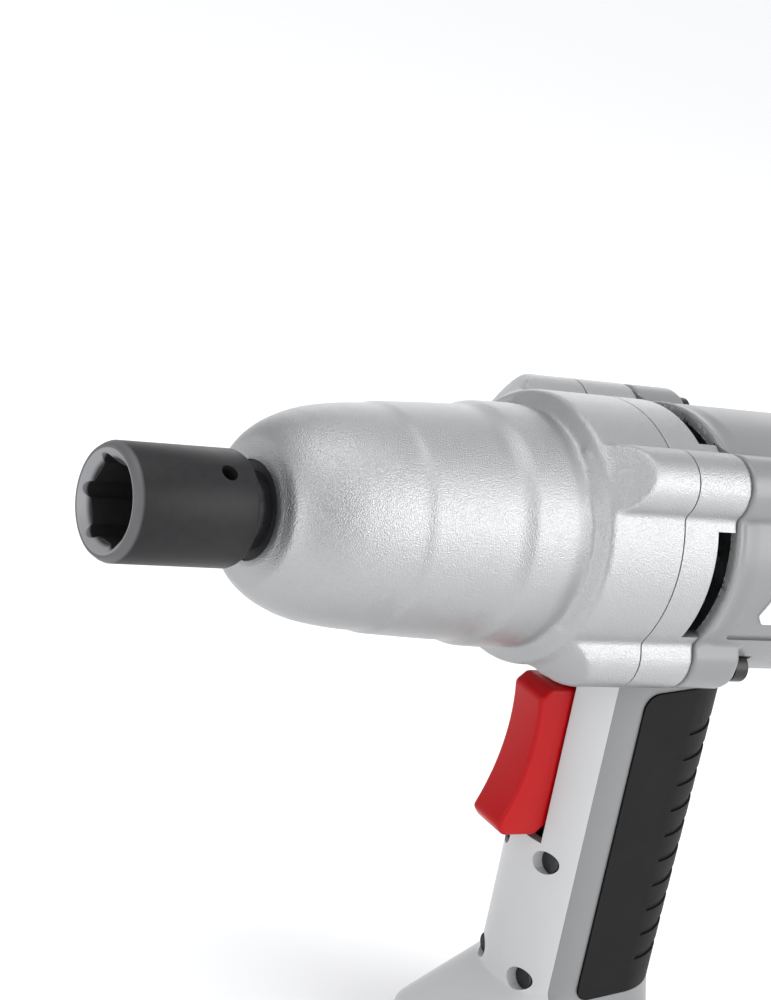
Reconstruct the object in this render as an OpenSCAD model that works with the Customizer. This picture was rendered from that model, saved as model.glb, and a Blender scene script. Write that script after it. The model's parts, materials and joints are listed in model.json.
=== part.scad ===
// Corded half-inch electric impact wrench with a pistol grip, millimetres.
// The drive axis runs along X: the socket points to -X, the motor's end to +X.
// The origin is the centre of the flat face under the handle; +Z is up.
// Stations are distances along the drive axis, measured back from the socket's front face.

/* [Overall] */
// Height of the drive axis above the face under the handle
axis_height = 185; // [165:1:225]

/* [Socket and square drive] */
// Outside diameter of the impact socket
socket_od = 32; // [30:0.5:38]
// Length of the impact socket
socket_length = 38.4; // [36:0.2:46]
// Width across the flats of the socket's hexagon
hex_across_flats = 22; // [17:1:24]
// Depth of the socket's hexagon
hex_depth = 16; // [12:1:18]
// Nominal side of the square drive
drive_square = 12.7; // [12.7:0.1:13]
// Length of the square drive
square_length = 15.6; // [14:0.2:16]
// Diameter of the cross hole for a retaining pin
pin_hole_d = 4.8; // [3:0.2:6]

/* [Hammer case] */
// Radius of the anvil's journal
journal_r = 10.6; // [9.6:0.1:11.4]
// Outside radius of the bronze bush round the anvil
bush_r = 13.6; // [12.6:0.1:14]
// Step of the case's middle ring outside its dome
middle_step = 1.8; // [1:0.1:2.6]
// Step of the case's rear ring outside its dome
rear_step = 3.6; // [3:0.1:4.6]
// Station where the case meets the gear plate
case_end = 167; // [166:0.5:172]
// Wall thickness of the case round the hammer
case_wall = 3.2; // [2.4:0.1:3.6]

/* [Flange] */
// Step of the flange between its lobes outside the motor housing
flange_step = 0.2; // [0:0.1:1]
// Radius of each screw lobe
lobe_r = 10.26; // [9:0.1:11]
// Distance of the lobe centres inside the motor housing's outer surface
lobe_inset = 2; // [1:0.1:2.5]
// Distance of the long screws outside the motor housing's outer surface
screw_outset = 2; // [1.5:0.1:3]
// Length of the gear plate's rim between the lobes
plate_rim_length = 13; // [11:0.5:14]
// Length of the gear plate at its lobes
plate_length = 20.5; // [19.5:0.5:24]

/* [Impact mechanism] */
// Outside radius of the hammer
hammer_r = 27; // [24:0.2:27.4]
// Length of the hammer's body
hammer_length = 31; // [29:0.5:32]
// Travel of the hammer against its spring
hammer_travel = 10; // [6:0.5:10]
// Radius of the spindle's shaft
spindle_r = 9; // [8:0.1:9.4]
// Diameter of each cam ball
cam_ball_d = 6; // [5:0.5:6.5]
// Wire diameter of the hammer spring
spring_wire = 3.6; // [2.6:0.1:3.8]

/* [Planetary gears] */
// Module of the gears
gear_module = 1; // [0.98:0.01:1.02]
// Teeth of the pinion cut on the motor shaft
sun_teeth = 8; // [8:1:8]
// Teeth of each planet gear
planet_teeth = 22; // [22:1:22]
// Width of the planet gears
gear_width = 10; // [8:0.5:10.4]

/* [Motor] */
// Outside radius of the motor housing
barrel_r = 39.5; // [39:0.1:42]
// Wall thickness of the motor housing
barrel_wall = 3; // [2.2:0.1:3.2]
// Room behind the commutator for the wires that lead to it
commutator_room = 5; // [4:0.5:12]
// Height of the ribs that hold the laminated stator in the housing
stator_rib = 3.5; // [2.5:0.1:6]
// Outside radius of the armature
armature_r = 20; // [18:0.2:20.4]
// Length of the laminated stacks
stack_length = 42; // [34:1:60]
// Radius of the commutator
commutator_r = 14; // [12:0.2:14.4]
// Blades of the cooling fan
fan_blades = 15; // [9:1:21]

/* [Handle] */
// Depth of the handle from front to back
handle_depth = 58; // [54:1:60]
// Width of the handle
handle_width = 39; // [36:0.5:42]
// Rearward rake of the handle
handle_rake = 8; // [4:0.5:9]
// Wall thickness of the handle
handle_wall = 4; // [3:0.1:4.4]
// Depth of the front cover from its face to the seam
cover_depth = 10; // [8:0.5:11]
// Length of the handle's foot
foot_length = 84; // [80:1:88]
// Width of the handle's foot
foot_width = 47; // [44:1:54]
// Height of the handle's foot
foot_height = 13; // [12:0.5:18]
// Thickness of the rubber grip
grip_thickness = 2.2; // [1.8:0.1:2.4]
// Radius of the hole in the cord's gland
cord_hole_r = 4.6; // [3:0.1:4.8]

/* [Trigger] */
// Width of the rocker trigger
trigger_width = 14; // [11:0.5:15]
// Height of the rocker trigger
trigger_height = 50; // [46:1:52]
// Height of the trigger's pivot below the drive axis
trigger_drop = 74; // [73:0.5:78]
// Distance of each switch plunger from the trigger's pivot
plunger_arm = 15; // [12:0.5:16]

/* [Fasteners and clearances] */
// Diameter of the long housing screws
housing_screw_d = 5; // [4:0.5:5]
// Diameter of the small screws
small_screw_d = 4; // [3:0.5:4]
// Radial clearance of a running fit
running_fit = 0.05; // [0.02:0.01:0.1]
// Gap between parts that only lie against each other
seat_gap = 0.05; // [0.02:0.01:0.1]
// Gap between parts that move past each other
moving_gap = 0.3; // [0.25:0.05:0.6]

/* [Hidden] */
$fn = 48;
eps = 0.01;

// Station of the origin, under the middle of the handle's foot
origin_station = 208;

silver = [0.78, 0.79, 0.80];
plastic_grey = [0.66, 0.67, 0.69];
steel = [0.55, 0.56, 0.58];
dark_steel = [0.24, 0.24, 0.26];
black = [0.08, 0.08, 0.09];
copper = [0.75, 0.42, 0.22];
brass = [0.80, 0.66, 0.32];

// Gear plate, and the motor that sets the barrel's length behind it
plate_rim_end = case_end + plate_rim_length;
plate_end = case_end + plate_length;
housing_start = plate_end + 0.5;
stack_start = housing_start + 11;
stack_end = stack_start + stack_length;
commutator_start = stack_end + 8;
commutator_length = 16;
barrel_end = commutator_start + commutator_length + commutator_room;

// Flange and screws, placed from the motor housing's outer surface
flange_r = barrel_r + flange_step;
lobe_circle_r = barrel_r - lobe_inset;
screw_circle_r = barrel_r + screw_outset;

// Turns of the hexagon and the square about the drive axis
hex_turn = -7.2;
square_turn = 31.5;

// Stations of the nose
square_start = socket_length - square_length;
journal_start = socket_length + 0.2;
nose_start = socket_length + 6.2;
nose_r = bush_r + 2.5;
seal_start = nose_start + 0.6;
seal_length = 4;
bush_start = seal_start + seal_length + seat_gap;
lug_start = 72;
bush_end = lug_start - 1.4;
lug_length = 11.5;
lug_r = hammer_r - 1.5;
lug_width = 13;
pilot_r = 5;

// Stations of the hammer, measured at rest
hammer_start = lug_start + lug_length + 0.8;
dog_start = hammer_start - hammer_travel + moving_gap;
dog_inner_r = journal_r + 5;
dog_angle = 40;
ball_station = hammer_start + 8;
ball_r = cam_ball_d / 2;
cam_tilt = 20;
spring_side = 1.7;
cam_leg = hammer_travel / 2 + ball_r + 1;
pocket_inner_r = spindle_r + 6.4;
pocket_outer_r = pocket_inner_r + spring_wire + 2 * spring_side;
pocket_start = ball_station + cam_leg + 2.2;
spring_mid_r = (pocket_inner_r + pocket_outer_r) / 2;
thrust_ball_r = 1.6;
thrust_washer_start = pocket_start + 2 * thrust_ball_r + 2 * seat_gap;
washer_thickness = 1.4;
spring_start = thrust_washer_start + washer_thickness;

// Planetary stage: the ring gear stands still and the carrier drives the hammer
ring_teeth = sun_teeth + 2 * planet_teeth;
planet_count = 3;
centre_distance = gear_module * (sun_teeth + planet_teeth) / 2;
pressure_angle = 25;
addendum = 0.8;
dedendum = 1;
backlash = 0.16;
carrier_r = 24;
carrier_front = 138.5;
disc_thickness = 5;
gear_start = carrier_front + disc_thickness + 1.2;
gear_end = gear_start + gear_width;
carrier_back = gear_end + 1.2;
carrier_end = carrier_back + 4;
planet_pin_r = 3;
spring_end = carrier_front;
ring_r = 31;
ring_start = gear_start - 0.8;
ring_end = gear_end + 1.5;

// Bearings as [inner radius, outer radius, width, first station]
spindle_bearing_size = [8.5, 17.5, 10, carrier_end + 3];
front_bearing_size = [6, 16, 9, plate_end - 9.5];
rear_bearing_size = [4, 11, 7, barrel_end + 3];
gasket_thickness = 0.4;
bearing_end = spindle_bearing_size[3] + spindle_bearing_size[2];

// Motor
barrel_inner_r = barrel_r - barrel_wall;
stator_r = barrel_inner_r - stator_rib;
fan_r = barrel_inner_r - 3;
fan_start = plate_rim_end + 1.5;
fan_disc = housing_start + 0.9;
baffle_start = fan_disc + 2.4;
baffle_thickness = 1.4;
shaft_r = 6;
shaft_tail_r = 4;
brush_station = commutator_start + commutator_length / 2;
brush_half = [3.2, 4.6];
brush_length = 12;
brush_start = commutator_r + 0.15;
cap_r = 7;
cap_start = barrel_r - 7;
cover_length = 28;
cover_end = barrel_end + cover_length;
ear_end = housing_start + 22;
screw_angles = [45, 135, 225, 315];

// Handle, in the raked frame whose Z runs down the handle and X to the rear
handle_front_station = 172;
handle_top_drop = flange_r + 2.3;
handle_run = axis_height - handle_top_drop;
trigger_z = trigger_drop - handle_top_drop;
recess_depth = 1.5;
grip_front = cover_depth + 9.5;
pivot_depth = 8.5;
pivot_station = handle_front_station + (trigger_drop - handle_top_drop) * tan(handle_rake) + pivot_depth;
pin_half = 14;
trigger_swing = 7;
plunger_r = 2;
switch_front = pivot_station + 15;
switch_depth = 22;
switch_half_width = 9;
switch_half_height = 20;

// Puts children on the drive axis at a station: X to the tool's right, Y up, Z rearward
module on_axis(station = 0)
    translate([station - origin_station, 0, axis_height])
        rotate([90, 0, 90]) children();

// Puts children beside the tool: X rearward, Y up, Z to the tool's left
module on_side(station = 0, height = 0)
    translate([station - origin_station, 0, axis_height + height])
        rotate([90, 0, 0]) children();

// Puts children on the raked handle: X rearward, Z down the handle
module on_handle()
    translate([handle_front_station - origin_station, 0, axis_height - handle_top_drop])
        rotate([180, -handle_rake, 0])
            children();

module tube(outer, inner, length)
    difference() {
        cylinder(r = outer, h = length, $fn = 96);
        translate([0, 0, -1]) cylinder(r = inner, h = length + 2, $fn = 96);
    }

// Revolves an outline of [radius, station] points about the drive axis
module revolve(points)
    on_axis() rotate_extrude($fn = 128) polygon(points);

// ---- Gear outlines ----
function involute(angle) = tan(angle) * 180 / PI - angle;
function base_r(teeth) = gear_module * teeth / 2 * cos(pressure_angle);
function half_tooth(teeth, r, thinning) =
    90 / teeth - thinning * 90 / (PI * gear_module * teeth / 2)
    + involute(pressure_angle) - involute(acos(min(1, base_r(teeth) / r)));
function polar(r, angle) = [r * cos(angle), r * sin(angle)];

flank_steps = 5;

// The outline of a spur gear with one tooth at angle zero
module gear_outline(teeth, root, tip, thinning) {
    flank = [for (i = [0 : flank_steps]) root + (tip - root) * i / flank_steps];
    polygon([
        for (tooth = [0 : teeth - 1], side = [-1, 1], i = [0 : flank_steps])
            let (r = flank[side < 0 ? i : flank_steps - i])
            polar(r, tooth * 360 / teeth + side * half_tooth(teeth, r, thinning))
    ]);
}

module external_gear(teeth)
    gear_outline(teeth, gear_module * (teeth / 2 - dedendum),
                 gear_module * (teeth / 2 + addendum), backlash / 2);

// The hole inside the ring gear, with a tooth of the ring at angle zero
module ring_hole()
    rotate(180 / ring_teeth)
        gear_outline(ring_teeth, gear_module * (ring_teeth / 2 - addendum),
                     gear_module * (ring_teeth / 2 + dedendum), -backlash / 2);

// ---- Outlines shared by the case, the plate and the housing ----
module flange_outline(shrink = 0)
    offset(r = -3, $fn = 48) offset(r = 3 - shrink, $fn = 48) {
        circle(r = flange_r, $fn = 128);
        at_lobes() circle(r = lobe_r, $fn = 48);
    }

module at_lobes()
    for (angle = screw_angles)
        rotate(angle) translate([lobe_circle_r, 0, 0]) children();

module at_screws()
    for (angle = screw_angles)
        rotate(angle) translate([screw_circle_r, 0, 0]) children();

// A sector of the cross-section that reaches past every outline
module sector(middle, half_angle)
    polygon([[0, 0], polar(80, middle - half_angle), polar(90, middle), polar(80, middle + half_angle)]);

// ---- Socket, anvil and nose ----
module hex_outline() {
    corner_r = hex_across_flats / 2 / cos(30);
    intersection() {
        circle(r = corner_r, $fn = 6);
        circle(r = corner_r - 0.3, $fn = 96);
    }
    for (k = [0 : 5])
        rotate(60 * k) translate([corner_r - 1.5, 0]) circle(r = 1.5, $fn = 24);
}

module impact_socket() {
    chamfer = 1;
    outer = socket_od / 2;
    hex_mouth_r = hex_across_flats / 2 / cos(30) + 0.3;
    color(dark_steel) difference() {
        revolve([[0, 0], [outer - chamfer, 0], [outer, chamfer], [outer, socket_length - chamfer],
                 [outer - chamfer, socket_length], [0, socket_length]]);
        on_axis(-1) rotate(hex_turn) linear_extrude(hex_depth + 1) hex_outline();
        on_axis(-eps) cylinder(r1 = hex_mouth_r, r2 = hex_mouth_r - 1.5, h = 1.5, $fn = 64);
        on_axis(hex_depth - 1) cylinder(r = drive_square / 2 + 3, h = square_start - hex_depth + 1, $fn = 64);
        on_axis(hex_depth) rotate(square_turn) linear_extrude(socket_length)
            square(drive_square + 0.2, center = true);
        on_axis(socket_length - 8.9) rotate([90, 0, square_turn])
            cylinder(r = pin_hole_d / 2, h = 2 * socket_od, center = true, $fn = 32);
    }
}

module retaining_ring() {
    ring_outer = drive_square / 2 - 0.1;
    color(steel) on_axis(square_start + 2.6) difference() {
        rotate_extrude($fn = 64) translate([ring_outer - 0.9, 0]) circle(r = 0.9, $fn = 24);
        rotate(square_turn) translate([0, -0.8, -2]) cube([10, 1.6, 4]);
    }
}

module drive_end() {
    corner_r = drive_square / 2 * 1.3;
    groove_r = drive_square / 2 - 0.1;
    difference() {
        intersection() {
            on_axis(square_start) rotate(square_turn) linear_extrude(square_length + 0.2 + eps)
                square(drive_square, center = true);
            revolve([[0, square_start], [corner_r - 1.5, square_start], [corner_r, square_start + 1.5],
                     [corner_r, journal_start + eps], [0, journal_start + eps]]);
        }
        on_axis(square_start + 1.6) tube(corner_r + 2, groove_r - 1.9, 2);
        on_axis(socket_length - 8.9) rotate([90, 0, square_turn])
            cylinder(r = pin_hole_d / 2, h = 2 * socket_od, center = true, $fn = 32);
    }
}

module anvil() {
    bevel = 0.8;
    lug_end = lug_start + lug_length;
    color(dark_steel) difference() {
        union() {
            drive_end();
            revolve([[0, journal_start], [journal_r - bevel, journal_start],
                     [journal_r, journal_start + bevel], [journal_r, lug_start],
                     [journal_r + 3, lug_start], [journal_r + 3, lug_end], [0, lug_end]]);
            intersection() {
                on_axis(lug_start) rotate(square_turn) linear_extrude(lug_length)
                    square([2 * lug_r + 2, lug_width], center = true);
                on_axis(lug_start) cylinder(r = lug_r, h = lug_length, $fn = 96);
            }
        }
        on_axis(lug_start - 6) cylinder(r = pilot_r + running_fit, h = lug_length + 7, $fn = 48);
    }
}

module nose_seal() color(black)
    on_axis(seal_start) tube(bush_r, journal_r + running_fit, seal_length);

module anvil_bush() color(brass)
    on_axis(bush_start) tube(bush_r, journal_r + running_fit, bush_end - bush_start);

// ---- Hammer case ----
// The case stands clear of the hammer and the carrier by a gap, and its rings step out from the dome
hammer_space_r = max(hammer_r, carrier_r) + 1.2;
dome_r = hammer_space_r + case_wall;
middle_r = dome_r + middle_step;
rear_r = dome_r + rear_step;

// Radius of the dome at a distance behind the nose face
dome_length = 34;
function dome_radius(back) =
    nose_r + 1.5 + (dome_r - nose_r - 1.5) * pow(1 - pow(1 - back / dome_length, 2.6), 0.62);
dome_steps = 12;
dome_points = [for (i = [0 : dome_steps])
    let (back = 1.4 + (dome_length - 1.4) * pow(i / dome_steps, 1.5)) [dome_radius(back), nose_start + back]];
middle_start = nose_start + 39;
middle_end = nose_start + 68;
rear_start = nose_start + 74;
flange_front = case_end - 27;
cone_front = flange_front - 4;
cone_end = case_end - 15;

module case_body()
    revolve(concat(
        [[0, nose_start], [nose_r - 0.8, nose_start], [nose_r, nose_start + 0.6]],
        dome_points,
        [[middle_r - 1.1, middle_start], [middle_r, middle_end], [rear_r - 0.2, rear_start],
         [rear_r, rear_start + 10], [rear_r, case_end - gasket_thickness],
         [0, case_end - gasket_thickness]]));

flange_reach = lobe_circle_r + lobe_r + 1;

module case_flange()
    intersection() {
        on_axis(cone_front) linear_extrude(case_end - gasket_thickness - cone_front) flange_outline();
        revolve([[0, cone_front], [rear_r, cone_front], [flange_r, flange_front],
                 [flange_reach, cone_end], [flange_reach, case_end], [0, case_end]]);
    }

// The hollow for the hammer and the gears, with a shoulder for the ring gear
module case_hollow() {
    bulge_start = lug_start - 1;
    revolve([[0, nose_start - 1], [nose_r - 2.4, nose_start - 1], [bush_r + seat_gap, seal_start - eps],
             [bush_r + seat_gap, bush_end], [bush_r + 4, bush_end],
             [hammer_space_r - 1, bulge_start], [hammer_space_r, bulge_start + 6],
             [hammer_space_r, ring_start - seat_gap], [ring_r + seat_gap, ring_start - seat_gap],
             [ring_r + seat_gap, case_end + 1], [0, case_end + 1]]);
}

module hammer_case() {
    thread_depth = 16;
    color(silver) difference() {
        union() {
            case_body();
            case_flange();
        }
        case_hollow();
        on_axis(case_end - thread_depth) at_screws()
            cylinder(r = housing_screw_d / 2 + seat_gap, h = thread_depth + 1, $fn = 32);
    }
}

// ---- Hammer, cam and spring ----
// Grooves of the V-shaped cam, for balls that start at a station and move by a travel
module cam_grooves(station, travel) {
    start = min(0, travel) - ball_r - 0.2;
    depth = abs(travel) + 2 * ball_r + 0.4;
    for (side = [0, 180]) on_axis(station) rotate(side + 90) translate([spindle_r, 0, 0]) {
        for (tilt = [-cam_tilt, cam_tilt])
            rotate([tilt, 0, 0]) translate([0, 0, start]) cylinder(r = ball_r, h = depth, $fn = 32);
        translate([0, 0, start - 0.1]) cylinder(r = ball_r + 0.15, h = depth + 0.2, $fn = 32);
    }
}

module hammer() {
    color(steel) difference() {
        union() {
            on_axis(hammer_start) cylinder(r = hammer_r, h = hammer_length, $fn = 128);
            for (side = [0, 180])
                on_axis(dog_start) linear_extrude(hammer_start - dog_start + eps) intersection() {
                    difference() {
                        circle(r = hammer_r, $fn = 96);
                        circle(r = dog_inner_r, $fn = 96);
                    }
                    rotate(square_turn + 90) sector(side, dog_angle / 2);
                }
        }
        on_axis(hammer_start - 1) cylinder(r = spindle_r + running_fit, h = hammer_length + 2, $fn = 64);
        on_axis(pocket_start) tube(pocket_outer_r, pocket_inner_r, hammer_length);
        cam_grooves(ball_station, -hammer_travel / 2);
    }
}

module cam_balls() color(steel)
    for (side = [0, 180])
        on_axis(ball_station) rotate(side + 90) translate([spindle_r, 0, 0]) sphere(r = ball_r, $fn = 32);

module thrust_balls() {
    count = 18;
    color(steel) for (k = [0 : count - 1])
        on_axis(pocket_start + thrust_ball_r + seat_gap) rotate(k * 360 / count)
            translate([spring_mid_r, 0, 0]) sphere(r = thrust_ball_r, $fn = 24);
}

module thrust_washer() color(steel)
    on_axis(thrust_washer_start)
        tube(pocket_outer_r - moving_gap, pocket_inner_r + moving_gap, washer_thickness);

// A round wire wound along a helix between two stations
module coil_spring(mid_r, wire, length, turns) {
    sides = 8;
    steps = 20;
    rings = turns * steps;
    rise = length - wire;
    ring_points = [for (i = [0 : rings], k = [0 : sides - 1])
        let (r = mid_r + wire / 2 * cos(k * 360 / sides))
        [r * cos(i * 360 / steps), r * sin(i * 360 / steps),
         wire / 2 + rise * i / rings + wire / 2 * sin(k * 360 / sides)]];
    walls = [for (i = [0 : rings - 1], k = [0 : sides - 1])
        let (next = (k + 1) % sides)
        [i * sides + k, (i + 1) * sides + k, (i + 1) * sides + next, i * sides + next]];
    first_end = [for (k = [0 : sides - 1]) k];
    last_end = [for (k = [sides - 1 : -1 : 0]) rings * sides + k];
    polyhedron(points = ring_points, faces = concat(walls, [first_end, last_end]), convexity = 10);
}

module hammer_spring() color(steel)
    on_axis(spring_start + seat_gap)
        coil_spring(spring_mid_r, spring_wire, spring_end - spring_start - 2 * seat_gap, 4.5);

// ---- Spindle and planetary gears ----
module at_planets(station)
    for (k = [0 : planet_count - 1])
        on_axis(station) rotate(k * 360 / planet_count) translate([centre_distance, 0, 0]) children();

// Webs that join the carrier's two discs between the planets
module carrier_webs() {
    web_clearance = gear_module * (planet_teeth / 2 + addendum) + 0.6;
    difference() {
        on_axis(carrier_front + 1) tube(carrier_r, shaft_r, carrier_end - carrier_front - 2);
        at_planets(gear_start - 0.7) cylinder(r = web_clearance, h = gear_width + 1.4, $fn = 64);
        on_axis(gear_start - 0.7) cylinder(r = shaft_r + 1, h = gear_width + 1.4, $fn = 64);
    }
}

module spindle() {
    color(steel) difference() {
        union() {
            revolve([[0, lug_start - 5], [pilot_r, lug_start - 5], [pilot_r, hammer_start - 0.4],
                     [spindle_r, hammer_start - 0.4], [spindle_r, carrier_front], [carrier_r, carrier_front],
                     [carrier_r, carrier_front + disc_thickness], [0, carrier_front + disc_thickness]]);
            on_axis(carrier_back) cylinder(r = carrier_r, h = carrier_end - carrier_back, $fn = 96);
            on_axis(carrier_back)
                cylinder(r = spindle_bearing_size[0] - seat_gap, h = bearing_end - carrier_back, $fn = 64);
            carrier_webs();
        }
        on_axis(carrier_back - 1)
            cylinder(r = gear_module * (sun_teeth / 2 + addendum) + 0.7, h = bearing_end, $fn = 48);
        at_planets(carrier_front - 1)
            cylinder(r = planet_pin_r, h = carrier_end - carrier_front + 2, $fn = 32);
        cam_grooves(ball_station, hammer_travel / 2);
    }
}

module planet_pins() color(dark_steel)
    at_planets(carrier_front + 0.5)
        cylinder(r = planet_pin_r - seat_gap, h = carrier_end - carrier_front - 1, $fn = 32);

module planet_gear(index) {
    angle = index * 360 / planet_count;
    turn = angle + 180 + (angle * sun_teeth - 180) / planet_teeth;
    color(steel) on_axis(gear_start) translate(concat(polar(centre_distance, angle), [0]))
        rotate(turn) difference() {
            linear_extrude(gear_width) external_gear(planet_teeth);
            translate([0, 0, -1]) cylinder(r = planet_pin_r + running_fit, h = gear_width + 2, $fn = 48);
        }
}
module planet_gear_1() planet_gear(0);
module planet_gear_2() planet_gear(1);
module planet_gear_3() planet_gear(2);

module ring_gear() color(dark_steel)
    on_axis(ring_start) difference() {
        cylinder(r = ring_r, h = ring_end - ring_start, $fn = 128);
        translate([0, 0, -1]) linear_extrude(ring_end - ring_start + 2) ring_hole();
    }

// ---- Gear plate and gasket ----
module case_gasket() color(black)
    on_axis(case_end - gasket_thickness) linear_extrude(gasket_thickness) difference() {
        flange_outline(0.4);
        circle(r = ring_r + seat_gap, $fn = 96);
        at_screws() circle(r = housing_screw_d / 2 + 0.3, $fn = 32);
    }

// The wall, the hub for both bearings and the spigot that holds the ring gear
module plate_core() {
    spigot_start = ring_end + seat_gap;
    hub_r = front_bearing_size[1] + 3.5;
    web_start = case_end + 6;
    on_axis(spigot_start) tube(ring_r - seat_gap, ring_r - 4, case_end - spigot_start + 1);
    on_axis(spindle_bearing_size[3] - 1)
        cylinder(r = spindle_bearing_size[1] + 3, h = web_start - spindle_bearing_size[3] + 2, $fn = 96);
    on_axis(web_start) cylinder(r = hub_r, h = plate_end - web_start, $fn = 96);
    on_axis(web_start) cylinder(r = ring_r, h = 4, $fn = 96);
}

module gear_plate() {
    wall_r = barrel_inner_r;
    color(silver) difference() {
        union() {
            on_axis(case_end) linear_extrude(plate_rim_end - case_end) difference() {
                flange_outline();
                circle(r = ring_r - 1, $fn = 96);
            }
            on_axis(plate_rim_end - eps) linear_extrude(plate_end - plate_rim_end + eps) difference() {
                intersection() {
                    flange_outline();
                    for (angle = screw_angles) sector(angle, 17.5);
                }
                circle(r = wall_r - 1, $fn = 96);
            }
            plate_core();
        }
        on_axis(fan_start - 1) tube(wall_r, front_bearing_size[1] + 4.5, plate_end);
        on_axis(spindle_bearing_size[3])
            cylinder(r = spindle_bearing_size[1] + seat_gap,
                     h = spindle_bearing_size[2] + seat_gap, $fn = 96);
        on_axis(spindle_bearing_size[3] - 2) cylinder(r = spindle_bearing_size[0] + 2, h = 40, $fn = 64);
        on_axis(front_bearing_size[3])
            cylinder(r = front_bearing_size[1] + seat_gap, h = 20, $fn = 96);
        on_axis(case_end - 1) at_screws() cylinder(r = housing_screw_d / 2 + 0.3, h = 30, $fn = 32);
    }
}

// ---- Bearings ----
race_share = 0.3;
function race_wall(size) = (size[1] - size[0]) * race_share;
function bearing_ball_r(size) = (size[1] - size[0]) * 0.24;

module bearing_groove(size, gap)
    translate([(size[0] + size[1]) / 2, size[2] / 2]) circle(r = bearing_ball_r(size) + gap, $fn = 32);

module bearing_outer(size) {
    count = 9;
    color(steel) on_axis(size[3]) {
        rotate_extrude($fn = 96) difference() {
            translate([size[1] - race_wall(size), 0]) square([race_wall(size), size[2]]);
            bearing_groove(size, seat_gap);
        }
        for (k = [0 : count - 1])
            rotate(k * 360 / count) translate([(size[0] + size[1]) / 2, 0, size[2] / 2])
                sphere(r = bearing_ball_r(size), $fn = 24);
    }
}

module bearing_race(size)
    color(steel) on_axis(size[3]) rotate_extrude($fn = 96) difference() {
        translate([size[0], 0]) square([race_wall(size), size[2]]);
        bearing_groove(size, running_fit);
    }

module spindle_bearing() bearing_outer(spindle_bearing_size);
module front_bearing() bearing_outer(front_bearing_size);
module rear_bearing() bearing_outer(rear_bearing_size);
module spindle_bearing_race() bearing_race(spindle_bearing_size);
module front_bearing_race() bearing_race(front_bearing_size);
module rear_bearing_race() bearing_race(rear_bearing_size);

// ---- Armature ----
module motor_shaft() {
    neck_r = gear_module * (sun_teeth / 2 + addendum) + 0.15;
    shaft_end = rear_bearing_size[3] + rear_bearing_size[2] + 1;
    front_step = front_bearing_size[3] - 0.6;
    rear_step = rear_bearing_size[3] - 0.6;
    color(steel) {
        on_axis(gear_start - 0.2) linear_extrude(gear_width + 2) external_gear(sun_teeth);
        revolve([[0, gear_end + 1.7], [neck_r, gear_end + 1.7], [neck_r, front_step],
                 [shaft_r - seat_gap, front_step], [shaft_r - seat_gap, rear_step],
                 [shaft_tail_r - seat_gap, rear_step], [shaft_tail_r - seat_gap, shaft_end], [0, shaft_end]]);
    }
}

module armature_core() {
    slots = 12;
    color(steel) on_axis(stack_start + 1) linear_extrude(stack_length - 2) difference() {
        circle(r = armature_r, $fn = 96);
        circle(r = shaft_r, $fn = 48);
        for (k = [0 : slots - 1]) rotate(k * 360 / slots) {
            translate([armature_r - 5, 0]) circle(r = 2.6, $fn = 24);
            translate([armature_r - 4, -0.9]) square([6, 1.8]);
        }
    }
}

module armature_windings() {
    slots = 12;
    overhang = 5;
    color(copper) {
        for (start = [stack_start + 1 - overhang, stack_end - 1 + seat_gap])
            on_axis(start) tube(armature_r - 1.6, shaft_r + 1.5, overhang - seat_gap);
        on_axis(stack_start + 1 - seat_gap) for (k = [0 : slots - 1]) rotate(k * 360 / slots)
            translate([armature_r - 5, 0, -0.5]) cylinder(r = 2.5, h = stack_length - 0.8, $fn = 24);
    }
}

module commutator() {
    segments = 24;
    slit = 0.5;
    color(copper) on_axis(commutator_start) difference() {
        union() {
            tube(commutator_r, shaft_r, commutator_length);
            tube(commutator_r + 2, shaft_r, 2);
        }
        for (k = [0 : segments - 1])
            rotate(k * 360 / segments) translate([commutator_r - 1, -slit / 2, -1])
                cube([5, slit, commutator_length + 2]);
    }
}

module cooling_fan() {
    blade_thickness = 1.4;
    blade_inner_r = front_bearing_size[1] + 5.5;
    color(black) {
        on_axis(fan_disc) tube(fan_r, shaft_r, 1.8);
        on_axis(fan_start) for (k = [0 : fan_blades - 1]) rotate(k * 360 / fan_blades)
            translate([blade_inner_r, -blade_thickness / 2, 0])
                cube([fan_r - blade_inner_r - 0.5, blade_thickness, fan_disc - fan_start + 0.5]);
    }
}

// ---- Stator ----
module air_baffle() color(black)
    on_axis(baffle_start) tube(barrel_inner_r - seat_gap, armature_r + 4, baffle_thickness);

window_inner_r = armature_r + 1.3;
window_outer_r = stator_r - 4.5;
window_half = 30;

module stator_core() {
    color(steel) on_axis(stack_start) linear_extrude(stack_length) difference() {
        circle(r = stator_r, $fn = 128);
        circle(r = armature_r + 0.8, $fn = 96);
        for (side = [90, 270])
            intersection() {
                difference() {
                    circle(r = window_outer_r, $fn = 96);
                    circle(r = armature_r, $fn = 96);
                }
                sector(side, window_half);
            }
    }
}

// An arc of a tube between two angles
module arc_block(outer, inner, from, to, length)
    rotate(from) rotate_extrude(angle = to - from, $fn = 96)
        translate([inner, 0]) square([outer - inner, length]);

module stator_coils() {
    coil_inner = window_inner_r + 0.3;
    coil_outer = window_outer_r - 0.3;
    half_span = 90 - window_half + 24;
    bar = 20;
    overhang = 5.5;
    bar_inset = 0.4;
    color(copper) for (side = [0, 180]) {
        for (start = [stack_start - overhang, stack_end + seat_gap])
            on_axis(start)
                arc_block(coil_outer, coil_inner, side - half_span, side + half_span, overhang - seat_gap);
        for (from = [side + half_span - bar - 1, side - half_span + 1])
            on_axis(stack_start - 1)
                arc_block(coil_outer - bar_inset, coil_inner + bar_inset, from, from + bar, stack_length + 2);
    }
}

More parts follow.
